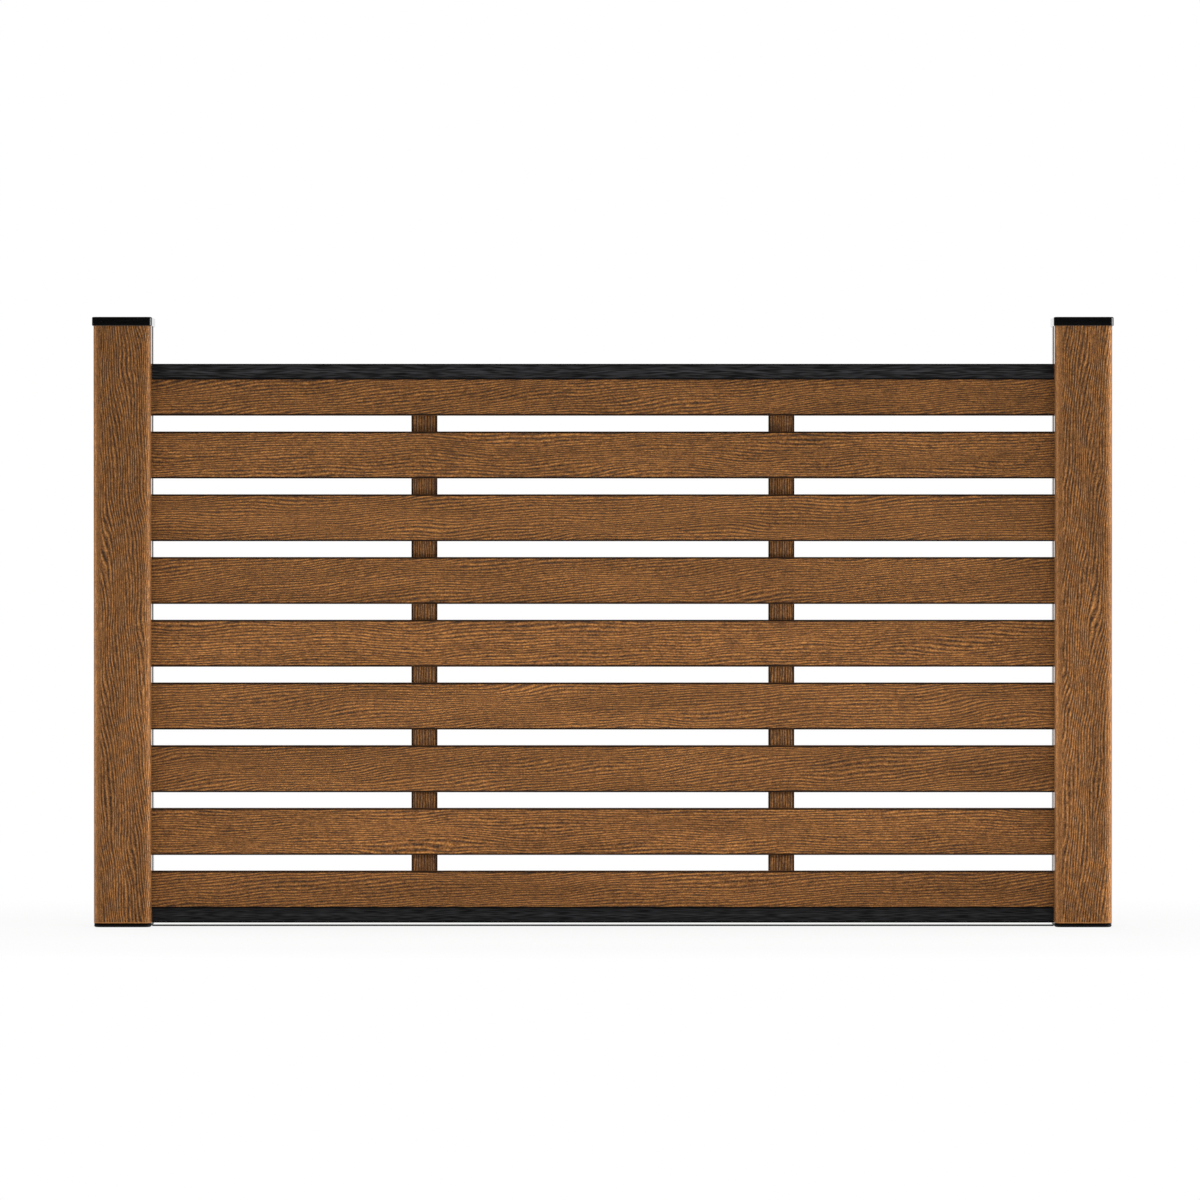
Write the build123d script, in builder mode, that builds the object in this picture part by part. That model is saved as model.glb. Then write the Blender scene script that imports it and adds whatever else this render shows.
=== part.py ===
from build123d import *
import os

# A slatted fence bay of embossed composite wood between two hollow posts.
# Sizes are in millimetres. The origin is under the middle of the left post's foot plate,
# on the ground. X runs along the fence to the right post, Y to the back and Z up.

# Bay
post_spacing = 2000
slat_count = 9
slat_gap = 33

# Posts, hollow extrusions with a groove for the panel on two sides
post_width = 120
post_corner = 16
post_wall = 8
chamber_wall = 7
chamber_radius = 3
post_reveal = 78
groove_depth = 30
groove_wall = 6
groove_mouth_radius = 1.5

# Slats and battens
slat_height = 98
slat_thickness = 20
slat_edge_radius = 2.5
slat_insertion = 25
batten_width = 54
batten_thickness = 22
batten_offset = 373
batten_clearance = 3

# Black edge rails, extrusions that hold the outer edges of the top and bottom slats
rail_height = 33
rail_overlap = 23
rail_lip = 2.3
rail_wall = 2
rail_clearance = 0.2
rail_side_clearance = 1.5
rail_edge_radius = 1.2

# Foot plates, the steel cores that stand on them and the bar that ties them
foot_plate_thickness = 7
foot_plate_inset = 0.5
foot_plate_edge_chamfer = 2
core_width = 40
core_wall = 3
core_length = 600
core_clearance = 1
anchor_spacing = 80
anchor_hole_radius = 6
tie_bar_width = 30
tie_bar_thickness = 2

# Caps and groove covers
cap_wall = 2
cap_clearance = 0.5
cap_top_thickness = 3.5
cap_skirt = 15
cap_corner = 10
cap_edge_radius = 2.5
cap_rim_chamfer = 1
cover_clearance = 0.3
cover_thickness = 4
cover_leg_thickness = 2
cover_leg_length = 10

# Sizes that follow
slat_pitch = slat_height + slat_gap
rail_width = slat_thickness + 2 * (rail_clearance + rail_lip)
rail_crown = rail_height - rail_overlap
groove_width = rail_width + 2 * rail_side_clearance
panel_start = post_width / 2 - slat_insertion
panel_length = post_spacing - 2 * panel_start
panel_middle = post_spacing / 2
first_slat_z = foot_plate_thickness + rail_crown
top_slat_z = first_slat_z + (slat_count - 1) * slat_pitch
top_rail_z = top_slat_z + slat_height - rail_overlap
post_top_z = top_rail_z + rail_height + post_reveal + cap_skirt
post_length = post_top_z - foot_plate_thickness
chamber_width = core_width + 2 * core_clearance
cap_width = post_width + 2 * (cap_clearance + cap_wall)
foot_plate_width = post_width - 2 * foot_plate_inset

post_centres = {"left": 0, "right": post_spacing}
batten_centres = {"left": panel_middle - batten_offset, "right": panel_middle + batten_offset}

os.makedirs("parts", exist_ok=True)


def save(part, name):
    """Name a finished piece and write it to its own file."""
    part.label = name
    export_step(part, f"parts/{name}.step")


def middle(low, high):
    """Return the middle of two places."""
    return (low + high) / 2


# Foot plates with four anchor holes each, which lie inside the post's corner chambers
for side, centre_x in post_centres.items():
    with BuildPart() as foot_plate:
        with BuildSketch():
            with Locations((centre_x, 0)):
                RectangleRounded(foot_plate_width, foot_plate_width, post_corner)
                with GridLocations(anchor_spacing, anchor_spacing, 2, 2):
                    Circle(anchor_hole_radius, mode=Mode.SUBTRACT)
        extrude(amount=foot_plate_thickness)
        holes = foot_plate.edges().filter_by(GeomType.CIRCLE).filter_by(
            lambda edge: abs(edge.radius - anchor_hole_radius) < 0.01
        )
        outline = foot_plate.faces().filter_by(Axis.Z).edges() - holes
        chamfer(outline, foot_plate_edge_chamfer)
    save(foot_plate.part, f"{side}_foot_plate")

    # Square steel tube, welded upright on the plate and hidden in the post
    with BuildPart() as post_core:
        with BuildSketch(Plane.XY.offset(foot_plate_thickness)):
            with Locations((centre_x, 0)):
                RectangleRounded(core_width, core_width, core_wall)
                Rectangle(core_width - 2 * core_wall, core_width - 2 * core_wall, mode=Mode.SUBTRACT)
        extrude(amount=core_length)
    save(post_core.part, f"{side}_post_core")

# Bar that lies on the ground from foot plate to foot plate
with BuildPart() as ground_tie_bar:
    with BuildSketch():
        with Locations((panel_middle, 0)):
            Rectangle(post_spacing - foot_plate_width, tie_bar_width)
    extrude(amount=tie_bar_thickness)
save(ground_tie_bar.part, "ground_tie_bar")

# Hollow posts: a square tube with a core chamber, two side chambers, four corner chambers
# and a groove in each of the two sides along the fence
wall_inside = post_width / 2 - post_wall
corner_low_x = post_width / 2 - groove_depth
corner_low_y = groove_width / 2 + groove_wall
corner_x = middle(corner_low_x, wall_inside)
corner_y = middle(corner_low_y, wall_inside)
side_low_y = chamber_width / 2 + chamber_wall
side_y = middle(side_low_y, wall_inside)

for side, centre_x in post_centres.items():
    with BuildPart() as post:
        with BuildSketch(Plane.XY.offset(foot_plate_thickness)) as post_section:
            with Locations((centre_x, 0)):
                RectangleRounded(post_width, post_width, post_corner)
                with GridLocations(post_width - groove_depth, 0, 2, 1):
                    Rectangle(groove_depth, groove_width, mode=Mode.SUBTRACT)
                RectangleRounded(chamber_width, chamber_width, chamber_radius, mode=Mode.SUBTRACT)
                with GridLocations(0, 2 * side_y, 1, 2):
                    RectangleRounded(
                        chamber_width,
                        wall_inside - side_low_y,
                        chamber_radius,
                        mode=Mode.SUBTRACT,
                    )
                with GridLocations(2 * corner_x, 2 * corner_y, 2, 2):
                    RectangleRounded(
                        wall_inside - corner_low_x,
                        wall_inside - corner_low_y,
                        post_corner - post_wall,
                        mode=Mode.SUBTRACT,
                    )
            mouth = post_section.vertices().filter_by(
                lambda vertex: abs(abs(vertex.X - centre_x) - post_width / 2) < 0.01
                and abs(abs(vertex.Y) - groove_width / 2) < 0.01
            )
            fillet(mouth, groove_mouth_radius)
        extrude(amount=post_length)
    save(post.part, f"{side}_post")

# Strips that close the unused outer groove of each post
for side, outward in {"left": -1, "right": 1}.items():
    face_x = post_centres[side] + outward * post_width / 2
    cover_width = groove_width - 2 * cover_clearance
    with BuildPart() as groove_cover:
        with BuildSketch(Plane.XY.offset(foot_plate_thickness)):
            with Locations((face_x - outward * cover_thickness / 2, 0)):
                Rectangle(cover_thickness, cover_width)
            with Locations((face_x - outward * (cover_thickness + cover_leg_length / 2), 0)):
                with GridLocations(0, cover_width - cover_leg_thickness, 1, 2):
                    Rectangle(cover_leg_length, cover_leg_thickness)
        extrude(amount=post_length)
    save(groove_cover.part, f"{side}_groove_cover")

# Caps, shallow trays turned over on the posts, rounded above and bevelled at the rim
for side, centre_x in post_centres.items():
    with BuildPart() as post_cap:
        with BuildSketch(Plane.XY.offset(post_top_z - cap_skirt)):
            with Locations((centre_x, 0)):
                RectangleRounded(cap_width, cap_width, cap_corner)
        extrude(amount=cap_skirt + cap_top_thickness)
        fillet(post_cap.faces().sort_by(Axis.Z)[-1].edges(), cap_edge_radius)
        chamfer(post_cap.faces().sort_by(Axis.Z)[0].edges(), cap_rim_chamfer)
        with BuildSketch(Plane.XY.offset(post_top_z - cap_skirt)):
            with Locations((centre_x, 0)):
                RectangleRounded(
                    cap_width - 2 * cap_wall, cap_width - 2 * cap_wall, cap_corner - cap_wall
                )
        extrude(amount=cap_skirt, mode=Mode.SUBTRACT)
    save(post_cap.part, f"{side}_post_cap")

# Slats, let into the grooves of both posts
for number in range(1, slat_count + 1):
    slat_z = first_slat_z + (number - 1) * slat_pitch
    with BuildPart() as slat:
        with BuildSketch(Plane.YZ.offset(panel_start)):
            with Locations((0, slat_z + slat_height / 2)):
                RectangleRounded(slat_thickness, slat_height, slat_edge_radius)
        extrude(amount=panel_length)
    save(slat.part, f"slat_{number}")

# Edge rails: a channel for the slat's edge with a closed chamber behind it
rails = {
    "bottom": (foot_plate_thickness, -1),
    "top": (top_rail_z, 1),
}
for place, (low_z, outward) in rails.items():
    rail_middle_z = low_z + rail_height / 2
    slot_z = rail_middle_z - outward * (rail_height - rail_overlap) / 2
    crown_z = rail_middle_z + outward * (rail_height - rail_crown) / 2
    with BuildPart() as rail:
        with BuildSketch(Plane.YZ.offset(panel_start)) as rail_section:
            with Locations((0, rail_middle_z)):
                RectangleRounded(rail_width, rail_height, rail_edge_radius)
            with Locations((0, slot_z)):
                Rectangle(rail_width - 2 * rail_lip, rail_overlap, mode=Mode.SUBTRACT)
            with Locations((0, crown_z)):
                Rectangle(
                    rail_width - 2 * rail_lip, rail_crown - 2 * rail_wall, mode=Mode.SUBTRACT
                )
        extrude(amount=panel_length)
    save(rail.part, f"{place}_rail")

# Battens, upright behind the slats between the two rails
batten_low_z = foot_plate_thickness + rail_height + batten_clearance
batten_high_z = top_rail_z - batten_clearance
for side, centre_x in batten_centres.items():
    with BuildPart() as batten:
        with BuildSketch(Plane.XY.offset(batten_low_z)):
            with Locations((centre_x, slat_thickness / 2 + batten_thickness / 2)):
                RectangleRounded(batten_width, batten_thickness, slat_edge_radius)
        extrude(amount=batten_high_z - batten_low_z)
    save(batten.part, f"{side}_batten")
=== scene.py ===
import math

import bmesh
import bpy
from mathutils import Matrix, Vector


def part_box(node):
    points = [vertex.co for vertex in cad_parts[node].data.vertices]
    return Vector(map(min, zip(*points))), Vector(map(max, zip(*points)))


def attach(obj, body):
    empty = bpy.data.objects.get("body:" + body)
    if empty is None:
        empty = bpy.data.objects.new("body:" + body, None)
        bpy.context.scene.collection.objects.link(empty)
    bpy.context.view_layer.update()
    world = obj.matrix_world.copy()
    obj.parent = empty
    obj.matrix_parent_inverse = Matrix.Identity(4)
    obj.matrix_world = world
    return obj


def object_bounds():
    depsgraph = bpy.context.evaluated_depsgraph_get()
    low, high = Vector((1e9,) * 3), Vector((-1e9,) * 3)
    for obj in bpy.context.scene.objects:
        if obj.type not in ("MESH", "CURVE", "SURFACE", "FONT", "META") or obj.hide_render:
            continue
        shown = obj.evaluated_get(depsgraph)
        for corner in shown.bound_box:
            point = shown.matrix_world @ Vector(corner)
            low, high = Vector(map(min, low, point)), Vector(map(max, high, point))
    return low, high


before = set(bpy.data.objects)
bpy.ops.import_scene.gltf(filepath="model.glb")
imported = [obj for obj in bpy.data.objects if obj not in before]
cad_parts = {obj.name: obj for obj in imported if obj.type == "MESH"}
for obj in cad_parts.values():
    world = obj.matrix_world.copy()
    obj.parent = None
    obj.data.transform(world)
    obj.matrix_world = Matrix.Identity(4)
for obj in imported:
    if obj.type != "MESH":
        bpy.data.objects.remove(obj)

cad_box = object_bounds()

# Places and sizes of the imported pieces, in metres
first_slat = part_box("slat_1")
second_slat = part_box("slat_2")
slat_height = first_slat[1].z - first_slat[0].z
slat_pitch = second_slat[0].z - first_slat[0].z
slat_names = sorted(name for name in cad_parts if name.startswith("slat_"))
post_low, post_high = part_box("left_post")
post_width = post_high.x - post_low.x
post_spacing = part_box("right_post")[0].x - post_low.x
bottom_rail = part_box("bottom_rail")
rail_height = bottom_rail[1].z - bottom_rail[0].z
rail_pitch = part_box("top_rail")[0].z - bottom_rail[0].z
groove_half = (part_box("left_groove_cover")[1].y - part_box("left_groove_cover")[0].y) / 2
batten_low, batten_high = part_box("left_batten")
batten_width = batten_high.x - batten_low.x
batten_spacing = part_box("right_batten")[0].x - batten_low.x

# The photograph: a long lens, nearly straight on, looking slightly down
image_width = 1200
sensor_width = 36.0
focal_pixels = 7185.0
camera_distance = 15.0
camera_x = 0.994
camera_height = 0.840
camera_pitch = math.radians(0.610)
camera_clip_end = 200

# Screws through the battens, two in each slat: domed heads with a six-lobed recess
screw_inset = 0.022
screw_sunk = 0.0004
screw_head_radius = 0.0045
screw_rim_height = 0.0006
screw_head_height = 0.0022
screw_crown_radius = 0.0024
screw_dome_steps = 5
screw_lobes = 6
screw_recess_radius = 0.0016
screw_recess_lobe = 0.0003
screw_recess_floor = 0.0008
screw_sides = 36
screw_turn = 2.4
screw_smooth_angle = math.radians(35)

# Layers of the wood's noise: cells in each metre along the grain and across it
wander_cells = (7.0, 40.0)
fork_cells = (36.0, 260.0)
broken_cells = (75.0, 420.0)
patch_cells = (3.0, 20.0)
fleck_cells = (330.0, 620.0)
pore_cells = (140.0, 1500.0)

# How far the lines wander and fork, in lines, and how wide and deep they are, in metres
wander_turns = 1.5
fork_turns = 0.4
board_line_width = 0.0055
post_lines_a_side = 21
wood_relief = 0.0002

# Where lines count as low or high, and how the broken layer thins them
low_line = (-0.1, -0.9)
high_line = (0.1, 0.9)
groove_breaks = (0.34, 0.56)
ridge_breaks = (0.66, 0.44)
break_amounts = (0.15, 1.0)

# Where most noise lies, and what the layers multiply the wood's colour by
noise_range = (0.3, 0.7)
patch_tones = (0.84, 1.16)
fleck_tones = (0.65, 1.35)
pore_range = (0.6, 0.68)
pore_tones = (1.06, 0.72)

# What differs from board to board: the place in the noise, and a wave that sets tone and slope
board_shift = 7.31
wave_step = 2.15
wave_start = -0.24
tone_mean = 0.97
tone_change = 0.06

# Metal: its place in the noise, its arches and its noise cells
metal_seed = 3.7
metal_arches = (1.9, 6.0, 0.02)
streak_cells = (16.0, 300.0)
rough_cells = (4.0, 22.0)
rail_streak_cells = (30.0, 620.0)
rail_relief = 0.0002
rail_roughness = 0.45

# Fades on the faces, from where they start to where they end, in metres from an edge or a corner
# These place painted shade along the edges of boards and rails, and painted highlights on rail middles and
# post corners
wood_edge_shade = (0.003, 0.0042)
rail_edge_shade = (0.0026, 0.0036)
rail_middle_highlight = (0.012, 0.0155)
corner_highlight_band = (0.003, 0.019)
corner_rim_highlight = (0.0008, 0.0085)

# Fades by height at a post's foot, and by distance from the middle at its grooves, in metres
# The foot gets a painted highlight line and a painted contact shadow, and the grooves get painted shade
foot_highlight = (post_low.z + 0.003, post_low.z + 0.0042)
foot_contact_shade = (post_low.z + 0.001, post_low.z + 0.0018)
groove_mouth = (groove_half + 0.0034, groove_half + 0.0024)

# Fades by how squarely a surface faces an axis, from 0 to 1
edge_face = (0.55, 0.95)
coated_face = (0.7, 0.95)
groove_shade_face = (0.999, 0.99)

# Floor, in metres. The shadow on it fades away from the object, and shows less the plainer the floor is
floor_half = 60
floor_drop = 0.0005
shadow_half_width = 1.3
shadow_half_depth = 0.5
shadow_fade = (0.8, 2.4)
floor_plainness = (0.85, 1.0)

# Surroundings: light from all sides, and the bright stretch behind that gloss mirrors
ambient = 0.6
mirror_right = 0.45
mirror_back = 0.9
mirror_fade = (0.5, 0.72)
mirror_strength = (0.02, 1.0)

white = (1.0, 1.0, 1.0, 1.0)
dull = {"Specular IOR Level": 0.1}


def make_camera():
    """Place the camera at the photograph's viewing angle."""
    data = bpy.data.cameras.new("camera")
    data.sensor_width = sensor_width
    data.lens = focal_pixels / image_width * sensor_width
    data.clip_end = camera_clip_end
    camera = bpy.data.objects.new("camera", data)
    camera.location = (camera_x, -camera_distance, camera_height)
    camera.rotation_euler = (math.pi / 2 - camera_pitch, 0, 0)
    bpy.context.scene.collection.objects.link(camera)
    bpy.context.scene.camera = camera


class Nodes:
    """A node tree, with short names for the nodes that the finishes share."""

    def __init__(self, tree):
        self.tree = tree
        tree.nodes.clear()

    def add(self, kind, inputs=None, **settings):
        """Add a node with its settings and inputs."""
        node = self.tree.nodes.new(kind)
        for name, value in settings.items():
            setattr(node, name, value)
        for name, value in (inputs or {}).items():
            self.set(node.inputs[name], value)
        return node

    def set(self, socket, value):
        """Link an output to a socket, or write a plain value in it."""
        if isinstance(value, bpy.types.NodeSocket):
            self.tree.links.new(value, socket)
        else:
            socket.default_value = value

    def math(self, operation, *values):
        """Return the result of one sum."""
        node = self.add("ShaderNodeMath", operation=operation)
        for socket, value in zip(node.inputs, values):
            self.set(socket, value)
        return node.outputs[0]

    def vector(self, x, y, z):
        """Join three numbers in a vector."""
        return self.add("ShaderNodeCombineXYZ", {"X": x, "Y": y, "Z": z}).outputs[0]

    def noise(self, vector, detail):
        """Return noise with cells of size 1, about 0.5."""
        settings = {"Vector": vector, "Scale": 1.0, "Detail": detail, "Roughness": 0.5}
        return self.add("ShaderNodeTexNoise", settings).outputs["Fac"]

    def span(self, value, limits, results=(0.0, 1.0)):
        """Map a range of values to another, with clamped ends."""
        settings = {
            "Value": value,
            "From Min": limits[0],
            "From Max": limits[1],
            "To Min": results[0],
            "To Max": results[1],
        }
        return self.add("ShaderNodeMapRange", settings).outputs[0]

    def mix(self, factor, first, second, blend="MIX"):
        """Blend two colours."""
        node = self.add("ShaderNodeMix", data_type="RGBA", blend_type=blend)
        self.set(node.inputs[0], factor)
        self.set(node.inputs[6], first)
        self.set(node.inputs[7], second)
        return node.outputs[2]

    def grey(self, value):
        """Turn a number into a grey."""
        channels = {"Red": value, "Green": value, "Blue": value}
        return self.add("ShaderNodeCombineColor", channels).outputs[0]

    def multiply(self, color, tint):
        """Multiply a colour by another."""
        return self.mix(1.0, color, tint, "MULTIPLY")

    def position(self):
        """Return x, y and z in the frame, in metres."""
        place = self.add("ShaderNodeTexCoord").outputs["Object"]
        return self.add("ShaderNodeSeparateXYZ", {0: place}).outputs

    def facing(self, axis):
        """Return how far the surface faces an axis, from 0 to 1."""
        normal = self.add("ShaderNodeTexCoord").outputs["Normal"]
        return self.math("ABSOLUTE", self.add("ShaderNodeSeparateXYZ", {0: normal}).outputs[axis])


def linear(red, green, blue):
    """Turn an sRGB colour of 0 to 255 into a linear one with full alpha."""
    def one(value):
        value = value / 255
        return value / 12.92 if value <= 0.04045 else ((value + 0.055) / 1.055) ** 2.4
    return (one(red), one(green), one(blue), 1.0)


def new_material(name):
    """Return a new material and its empty node tree."""
    material = bpy.data.materials.new(name)
    material.use_nodes = True
    return material, Nodes(material.node_tree)


def finish_surface(nodes, color, roughness, height, depth, **constants):
    """Join colour, roughness and relief in one shader."""
    bump = nodes.add("ShaderNodeBump", {"Height": height, "Strength": 1.0, "Distance": depth})
    shader = nodes.add("ShaderNodeBsdfPrincipled", {"Base Color": color, "Roughness": roughness})
    nodes.set(shader.inputs["Normal"], bump.outputs[0])
    for name, value in constants.items():
        nodes.set(shader.inputs[name], value)
    output = nodes.add("ShaderNodeOutputMaterial")
    nodes.set(output.inputs["Surface"], shader.outputs[0])


class Grain:
    """Lines along X or Z on boards of one size that lie a pitch apart. Each board gets different ones."""

    def __init__(self, nodes, along, start, pitch, size, seed, arches, slopes=(0.0, 0.0)):
        self.nodes = nodes
        x, y, z = nodes.position()
        length, across = (x, z) if along == "X" else (z, x)
        self.side = nodes.facing("Z" if along == "X" else "X")

        # The board's number, and the distances from its middle, its edges and its corners
        board = nodes.math("SUBTRACT", across, start - (pitch - size) / 2)
        board = nodes.math("FLOOR", nodes.math("DIVIDE", board, pitch))
        from_middle = nodes.math("SUBTRACT", across, start + size / 2)
        from_middle = nodes.math("MULTIPLY_ADD", board, -pitch, from_middle)
        self.from_edge = nodes.math("SUBTRACT", size / 2, nodes.math("ABSOLUTE", from_middle))
        from_face = nodes.math("SUBTRACT", size / 2, nodes.math("ABSOLUTE", y))
        self.from_corner = nodes.math("MAXIMUM", self.from_edge, from_face)

        # Its own place in the noise, tone and slope
        self.shift = nodes.math("MULTIPLY_ADD", board, board_shift, seed)
        wave = nodes.math("SINE", nodes.math("MULTIPLY_ADD", board, wave_step, wave_start))
        self.tone = nodes.math("MULTIPLY_ADD", wave, tone_change, tone_mean)
        mean_slope, slope_change = slopes
        slope = nodes.math("MULTIPLY_ADD", wave, slope_change, mean_slope)
        self.rise = nodes.math("MULTIPLY", slope, length)
        self.length = nodes.math("ADD", length, self.shift)
        self.across = from_middle
        self.deep = y

        # Slow drift bends the fibres into long arches and eyes, in the plane of the face
        per_length, per_width, bend = arches
        drift = nodes.math("MULTIPLY", self.layer(per_length, per_width, 1.0, level=True), bend)
        on_side = nodes.math("MULTIPLY", drift, self.side)
        self.across = nodes.math("ADD", from_middle, nodes.math("SUBTRACT", drift, on_side))
        self.deep = nodes.math("ADD", y, on_side)

    def layer(self, per_length, per_width, detail=0.0, level=False):
        """Noise about 0.5, with so many cells a metre. They slope with the lines unless they are level."""
        nodes = self.nodes
        across = self.across if level else nodes.math("SUBTRACT", self.across, self.rise)
        place = nodes.vector(
            nodes.math("MULTIPLY", self.length, per_length),
            nodes.math("MULTIPLY", across, per_width),
            nodes.math("MULTIPLY_ADD", self.deep, per_width, self.shift),
        )
        return nodes.noise(place, detail)

    def lines(self, period, square=False):
        """Even lines that slope, wander and fork, from -1 to 1. On a square post they go round corners."""
        nodes = self.nodes
        if square:
            turned = nodes.math("MULTIPLY", self.across, nodes.math("SIGN", self.deep))
            straight = nodes.math("MULTIPLY", self.deep, nodes.math("SIGN", self.across))
            turns = nodes.math("DIVIDE", nodes.math("SUBTRACT", straight, turned), period)
        else:
            turns = nodes.math("DIVIDE", nodes.math("ADD", self.across, self.deep), period)
        turns = nodes.math("SUBTRACT", turns, nodes.math("DIVIDE", self.rise, period))
        turns = nodes.math("MULTIPLY_ADD", self.layer(*wander_cells, 1.0), wander_turns, turns)
        turns = nodes.math("MULTIPLY_ADD", self.layer(*fork_cells), fork_turns, turns)
        return nodes.math("SINE", nodes.math("MULTIPLY", turns, 2 * math.pi))


def embossed_wood(name, board, period, tones, edge_shade=0.0, post=False):
    """Composite wood with pressed grain: slate grooves, brown faces and tan ridges."""
    material, nodes = new_material(name)
    grain = Grain(nodes, **board)
    dark, middle, light = tones
    lines = grain.lines(period, square=post)
    broken = grain.layer(*broken_cells)
    low = nodes.span(lines, low_line)
    groove = nodes.math("MULTIPLY", low, nodes.span(broken, groove_breaks, break_amounts))
    high = nodes.span(lines, high_line)
    ridge = nodes.math("MULTIPLY", high, nodes.span(broken, ridge_breaks, break_amounts))
    color = nodes.mix(ridge, middle, light)
    color = nodes.mix(groove, color, dark)
    patch = nodes.span(grain.layer(*patch_cells, 2.0, level=True), noise_range, patch_tones)
    fleck = nodes.span(grain.layer(*fleck_cells), noise_range, fleck_tones)
    pores = nodes.span(grain.layer(*pore_cells), pore_range, pore_tones)
    tone = nodes.math("MULTIPLY", grain.tone, nodes.math("MULTIPLY", patch, fleck))
    tone = nodes.math("MULTIPLY", tone, pores)
    color = nodes.multiply(color, nodes.grey(tone))
    if edge_shade:
        # Painted shade: a board's edges and edge faces turn dark brown, where its rounded edges fall into
        # shade
        shade = nodes.span(grain.from_edge, wood_edge_shade, (edge_shade, 0.0))
        shade = nodes.math("MULTIPLY", shade, nodes.span(grain.side, edge_face, (1.0, 0.4)))
        edge_shade_brown = linear(16, 9, 6)
        color = nodes.mix(shade, color, edge_shade_brown)
    coat = 0.0
    if post:
        color = post_details(nodes, grain, color)
        coat = nodes.span(nodes.facing("X"), coated_face)
    height = nodes.math("SUBTRACT", ridge, groove)
    roughness = nodes.span(height, (-1.0, 1.0), (0.7, 0.5))
    coated = {"Coat Weight": coat, "Coat Roughness": 0.03, "Coat IOR": 1.2}
    finish_surface(nodes, color, roughness, height, wood_relief, **dull, **coated)
    return material


def post_details(nodes, grain, color):
    """Add a post's painted light: highlights on the corners and above the foot, a contact shadow and shade
    in the grooves.
    """
    foot_highlight_tan = linear(184, 126, 70)
    groove_shade_dark = linear(8, 5, 4)
    rim_highlight_tint = (1.8, 1.9, 2.1, 1.0)
    _, y, z = nodes.position()
    # Painted highlight: the corners are lightened and their outermost rims tinted towards white, for side
    # light and reflection
    painted_highlight = nodes.span(grain.from_corner, corner_highlight_band, (1.6, 1.0))
    color = nodes.multiply(color, nodes.grey(painted_highlight))
    painted_rim_highlight = nodes.mix(nodes.span(grain.from_corner, corner_rim_highlight), rim_highlight_tint, white)
    color = nodes.multiply(color, painted_rim_highlight)
    # Painted highlight: a tan line just above the foot, for light on the post's bottom edge
    color = nodes.mix(nodes.span(z, foot_highlight, (0.7, 0.0)), color, foot_highlight_tan)
    # Painted shade: the lowest millimetres of the post turn nearly black, a contact shadow on the foot
    # plate
    contact_shade = nodes.span(z, foot_contact_shade, (1.0, 0.0))
    # Painted shade: the grooves' walls and mouths turn nearly black, where shade falls in the recess
    inside = nodes.span(nodes.math("ABSOLUTE", y), groove_mouth)
    groove_shade = nodes.math("MULTIPLY", inside, nodes.span(nodes.facing("X"), groove_shade_face))
    return nodes.mix(nodes.math("MAXIMUM", groove_shade, contact_shade), color, groove_shade_dark)


def metal_grain(nodes, along, start=0.0, pitch=1.0, size=1.0):
    """Return the straight grain that all metal shares."""
    return Grain(nodes, along, start, pitch, size, metal_seed, metal_arches)


def streaked_metal(name, along, base, light, depth, roughness, **constants):
    """Coated or uncoated metal with faint streaks."""
    material, nodes = new_material(name)
    grain = metal_grain(nodes, along)
    streaks = grain.layer(*streak_cells, 1.0)
    color = nodes.mix(nodes.span(streaks, (0.36, 0.68)), base, light)
    rough = grain.layer(*rough_cells, 2.0)
    rough = nodes.span(rough, noise_range, (roughness - 0.05, roughness + 0.07))
    finish_surface(nodes, color, rough, streaks, depth, **constants)
    return material


def rail_finish():
    """Black rail with fine streaks, a painted highlight along the middle and painted shade on the edges.
    The top rail is painted paler.
    """
    material, nodes = new_material("rail_black_finish")
    grain = metal_grain(nodes, "X", bottom_rail[0].z, rail_pitch, rail_height)
    streaks = grain.layer(*rail_streak_cells)
    color = nodes.mix(nodes.span(streaks, (0.35, 0.65)), linear(14, 14, 15), linear(48, 48, 50))
    # Painted highlight: a paler band along each rail's middle, and the top rail painted paler than the
    # bottom one
    painted_highlight = nodes.span(grain.from_edge, rail_middle_highlight, (1.0, 1.45))
    painted_rail_light = nodes.span(grain.tone, (0.956, 1.027), (0.72, 1.12))
    color = nodes.multiply(color, nodes.grey(nodes.math("MULTIPLY", painted_highlight, painted_rail_light)))
    # Painted shade: the rails' edges and edge faces turn black
    edge = nodes.span(grain.from_edge, rail_edge_shade, (1.0, 0.0))
    edge = nodes.math("MULTIPLY", edge, nodes.span(grain.side, edge_face, (1.0, 0.0)))
    edge_shade_black = linear(2, 2, 2)
    color = nodes.mix(edge, color, edge_shade_black)
    finish_surface(nodes, color, rail_roughness, streaks, rail_relief, **dull)
    return material


def assign(material, *names):
    """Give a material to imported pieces."""
    for name in names:
        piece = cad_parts[name]
        for slot in piece.material_slots:
            slot.material = material
        if not piece.material_slots:
            piece.data.materials.append(material)


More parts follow.
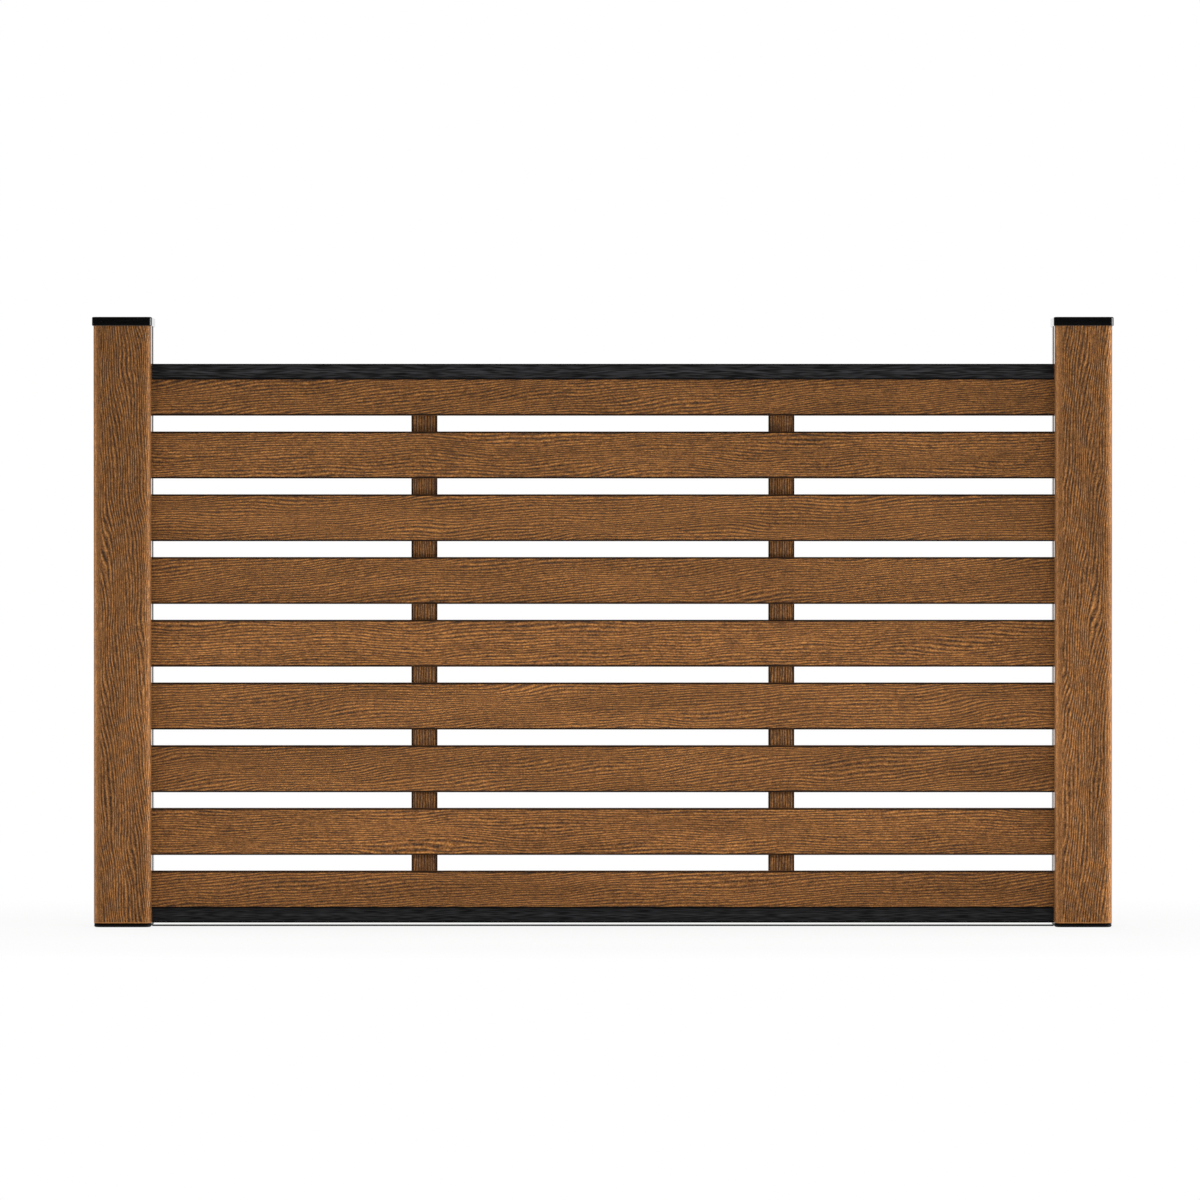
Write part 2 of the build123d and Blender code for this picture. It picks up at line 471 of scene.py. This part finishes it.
def make_wood():
    """Make the wood of the slats, posts and battens and give it to them."""
    dark = linear(76, 57, 43)
    slat_tones = (dark, linear(124, 82, 46), linear(173, 118, 63))
    post_tones = (linear(72, 53, 40), linear(121, 81, 47), linear(172, 118, 66))
    batten_tones = (dark, linear(108, 74, 46), linear(160, 110, 62))
    slat = {
        "along": "X", "start": first_slat[0].z, "pitch": slat_pitch, "size": slat_height,
        "seed": 2.4, "arches": (3.4, 13.0, 0.045), "slopes": (0.052, -0.04),
    }
    post = {
        "along": "Z", "start": post_low.x, "pitch": post_spacing, "size": post_width,
        "seed": 13.4, "arches": (5.5, 20.0, 0.036), "slopes": (-0.048, 0.155),
    }
    batten = {
        "along": "Z", "start": batten_low.x, "pitch": batten_spacing, "size": batten_width,
        "seed": 5.9, "arches": (3.0, 14.0, 0.01),
    }
    post_line_width = post_width / post_lines_a_side
    assign(
        embossed_wood("slat_wood_grain", slat, board_line_width, slat_tones, edge_shade=0.95),
        *slat_names,
    )
    assign(
        embossed_wood("post_wood_grain", post, post_line_width, post_tones, post=True),
        "left_post", "right_post", "left_groove_cover", "right_groove_cover",
    )
    assign(
        embossed_wood("batten_wood_grain", batten, board_line_width, batten_tones, edge_shade=0.9),
        "left_batten", "right_batten",
    )


def make_metal():
    """Make the metal of the rails, caps, plates and cores and give it to them."""
    coated = {"Coat Weight": 1.0, "Coat Roughness": 0.05, "Coat IOR": 1.35}
    cap = {"base": linear(4, 4, 4), "light": linear(9, 9, 9), "depth": 0.00002, "roughness": 0.2}
    plate = {"base": linear(7, 7, 7), "light": linear(15, 15, 15), "depth": 0.00005, "roughness": 0.4}
    core = {
        "base": linear(150, 150, 150), "light": linear(180, 180, 180),
        "depth": 0.0001, "roughness": 0.4, "Metallic": 1.0,
    }
    assign(rail_finish(), "top_rail", "bottom_rail")
    assign(
        streaked_metal("cap_black_finish", "X", **cap, **dull, **coated),
        "left_post_cap", "right_post_cap",
    )
    assign(
        streaked_metal("plate_black_finish", "X", **plate, **dull),
        "left_foot_plate", "right_foot_plate", "ground_tie_bar",
    )
    assign(
        streaked_metal("core_steel_finish", "Z", **core),
        "left_post_core", "right_post_core",
    )


def screw_rings():
    """Give the radius, lobe and height of each ring of a screw head, from its base to its recess."""
    rings = [(screw_head_radius, 0.0, -screw_sunk), (screw_head_radius, 0.0, screw_rim_height)]
    for step in range(1, screw_dome_steps + 1):
        turn = math.pi / 2 * step / screw_dome_steps
        radius = screw_crown_radius + (screw_head_radius - screw_crown_radius) * math.cos(turn)
        height = screw_rim_height + (screw_head_height - screw_rim_height) * math.sin(turn)
        rings.append((radius, 0.0, height))
    rings.append((screw_recess_radius, screw_recess_lobe, screw_head_height))
    rings.append((screw_recess_radius, screw_recess_lobe, screw_recess_floor))
    return rings


def add_screw(mesh, x, y, z, start):
    """Add a closed screw head that faces +Y, turned by a start angle."""
    previous = None
    for radius, lobe, height in screw_rings():
        ring = []
        for side in range(screw_sides):
            angle = 2 * math.pi * side / screw_sides
            reach = radius + lobe * math.cos(screw_lobes * angle)
            turned = angle + start
            place = (x + reach * math.sin(turned), y + height, z + reach * math.cos(turned))
            ring.append(mesh.verts.new(place))
        if previous is None:
            mesh.faces.new(ring[::-1])
        else:
            for side in range(screw_sides):
                following = (side + 1) % screw_sides
                mesh.faces.new((previous[side], previous[following], ring[following], ring[side]))
        previous = ring
    mesh.faces.new(previous)


def make_screws():
    """Put screw heads on the backs of the battens."""
    steel = {
        "base": linear(140, 140, 142), "light": linear(185, 185, 187),
        "depth": 0.00002, "roughness": 0.32, "Metallic": 1.0,
    }
    material = streaked_metal("screw_steel_finish", "X", **steel)
    for side in ("left", "right"):
        low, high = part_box(f"{side}_batten")
        mesh = bmesh.new()
        for number, name in enumerate(slat_names):
            slat_low, slat_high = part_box(name)
            lower = max(slat_low.z, low.z) + screw_inset
            upper = min(slat_high.z, high.z) - screw_inset
            for end, z in enumerate((lower, upper)):
                add_screw(mesh, (low.x + high.x) / 2, high.y, z, screw_turn * (2 * number + end))
        bmesh.ops.recalc_face_normals(mesh, faces=mesh.faces)
        for edge in mesh.edges:
            edge.smooth = edge.calc_face_angle(0.0) < screw_smooth_angle
        for face in mesh.faces:
            face.smooth = True
        data = bpy.data.meshes.new(f"{side}_batten_screws")
        mesh.to_mesh(data)
        mesh.free()
        data.materials.append(material)
        screws = bpy.data.objects.new(f"{side}_batten_screws", data)
        bpy.context.scene.collection.objects.link(screws)
        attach(screws, "root")


def seen_directly(nodes):
    """Return 1 for camera, glossy and transmission rays, else 0."""
    path = nodes.add("ShaderNodeLightPath")
    direct = nodes.math("MAXIMUM", path.outputs["Is Camera Ray"], path.outputs["Is Glossy Ray"])
    return nodes.math("MAXIMUM", direct, path.outputs["Is Transmission Ray"])


def make_stage():
    """A pale floor that keeps the object's shadow."""
    corners = [
        (-floor_half, -floor_half, 0),
        (floor_half, -floor_half, 0),
        (floor_half, floor_half, 0),
        (-floor_half, floor_half, 0),
    ]
    floor_mesh = bpy.data.meshes.new("floor")
    floor_mesh.from_pydata(corners, [], [(0, 1, 2, 3)])
    floor = bpy.data.objects.new("floor", floor_mesh)
    floor.location = (camera_x, 0, cad_box[0][2] - floor_drop)
    bpy.context.scene.collection.objects.link(floor)
    material, nodes = new_material("floor_pale")
    shaded = nodes.add("ShaderNodeBsdfDiffuse", {"Color": (0.9, 0.9, 0.9, 1)})
    plain = nodes.add("ShaderNodeEmission", {"Color": white, "Strength": 1.0})
    x, y, _ = nodes.position()
    away_x = nodes.math("POWER", nodes.math("DIVIDE", x, shadow_half_width), 2.0)
    away_y = nodes.math("POWER", nodes.math("DIVIDE", y, shadow_half_depth), 2.0)
    away = nodes.math("SQRT", nodes.math("ADD", away_x, away_y))
    plainness = nodes.span(away, shadow_fade, floor_plainness)
    amount = nodes.math("MULTIPLY", seen_directly(nodes), plainness)
    blend = nodes.add("ShaderNodeMixShader", {0: amount, 1: shaded.outputs[0], 2: plain.outputs[0]})
    output = nodes.add("ShaderNodeOutputMaterial")
    nodes.set(output.inputs["Surface"], blend.outputs[0])
    floor_mesh.materials.append(material)


def make_world():
    """White where the camera sees it, and for gloss bright behind the object and dim in front of it."""
    world = bpy.data.worlds.new("studio")
    bpy.context.scene.world = world
    world.use_nodes = True
    nodes = Nodes(world.node_tree)
    direction = nodes.add("ShaderNodeTexCoord").outputs["Generated"]
    split = nodes.add("ShaderNodeSeparateXYZ", {0: direction})
    to_right = nodes.math("MULTIPLY", split.outputs["X"], mirror_right)
    behind = nodes.math("MULTIPLY_ADD", split.outputs["Y"], mirror_back, to_right)
    mirrored = nodes.span(behind, mirror_fade, mirror_strength)
    path = nodes.add("ShaderNodeLightPath")
    more = nodes.math("SUBTRACT", mirrored, ambient)
    strength = nodes.math("MULTIPLY_ADD", path.outputs["Is Glossy Ray"], more, ambient)
    strength = nodes.math("MAXIMUM", strength, path.outputs["Is Camera Ray"])
    background = nodes.add("ShaderNodeBackground", {"Color": white, "Strength": strength})
    output = nodes.add("ShaderNodeOutputWorld")
    nodes.set(output.inputs["Surface"], background.outputs[0])


def make_light(name, place, target, width, height, watts, mirrored=False):
    """A soft rectangular lamp aimed at a point. Only one that is mirrored shows in gloss."""
    data = bpy.data.lights.new(name, "AREA")
    data.shape = "RECTANGLE"
    data.size = width
    data.size_y = height
    data.energy = watts
    lamp = bpy.data.objects.new(name, data)
    lamp.location = place
    lamp.rotation_euler = (Vector(target) - Vector(place)).to_track_quat("-Z", "Y").to_euler()
    lamp.visible_glossy = mirrored
    lamp.visible_camera = False
    bpy.context.scene.collection.objects.link(lamp)


def make_lights():
    """Light the object from the front, the back and both sides, a little more from the right."""
    x = (cad_box[0][0] + cad_box[1][0]) / 2
    z = (cad_box[0][2] + cad_box[1][2]) / 2
    middle = (x, 0, z)
    low_z = 0.46
    side_z = 0.8
    side_reach = 6.7
    make_light("front", (x, -6.0, 1.6), middle, width=6.0, height=3.0, watts=20)
    make_light("front_low", (x, -0.8, low_z), (x, 0, low_z), width=2.3, height=0.1, watts=4.2)
    make_light("back", (x, 6.0, 3.2), middle, width=6.0, height=3.0, watts=160)
    make_light(
        "right_side", (x + side_reach, -0.9, side_z), middle,
        width=2.2, height=2.2, watts=235, mirrored=True,
    )
    make_light("left_side", (x - side_reach, 1.3, side_z), middle, width=2.2, height=2.2, watts=170)


make_camera()
make_wood()
make_metal()
make_screws()
make_stage()
make_world()
make_lights()

bpy.context.scene.view_settings.view_transform = "Standard"
